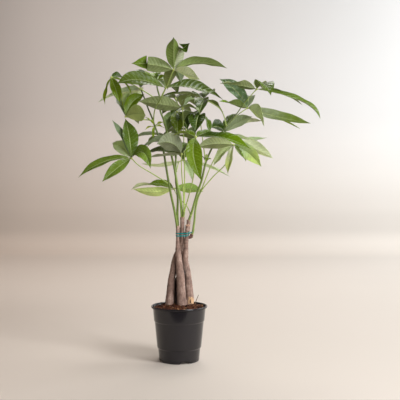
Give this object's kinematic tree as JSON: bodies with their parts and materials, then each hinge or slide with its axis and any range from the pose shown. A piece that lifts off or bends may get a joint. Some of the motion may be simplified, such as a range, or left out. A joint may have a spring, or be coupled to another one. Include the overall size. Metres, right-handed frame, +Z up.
{
  "type": "potted money tree",
  "caption": "Young Pachira houseplant: slender woody trunks twisted round each other in a round black nursery pot, tied near the top, with long-stalked palmate leaves.",
  "frame": {"origin": "centre of the pot's foot, on the surface it stands on", "axes": "+Z up; the pictured front faces -Y; +X to the right as seen from the front"},
  "size_m": [0.6286, 0.4892, 0.8218],
  "materials": {
    "black_plastic": "satin moulded black plastic",
    "potting_mix": "rough, moist bark and coir",
    "bark": "dull, finely ringed young bark",
    "leaf": "glossy above, dull and paler below",
    "tie_plastic": "smooth coated wire tape",
    "dry_twig": "dry and dull"
  },
  "bodies": {
    "root": {"pot": "black_plastic", "soil": "potting_mix", "twig": "dry_twig", "trunk_front": "bark", "trunk_left": "bark", "trunk_right": "bark", "trunk_back": "bark", "twist_tie": "tie_plastic", "shoot_left": "leaf", "shoot_middle": "leaf", "shoot_right": "leaf", "shoot_side": "leaf", "shoot_rear": "leaf"}
  },
  "joints": []
}
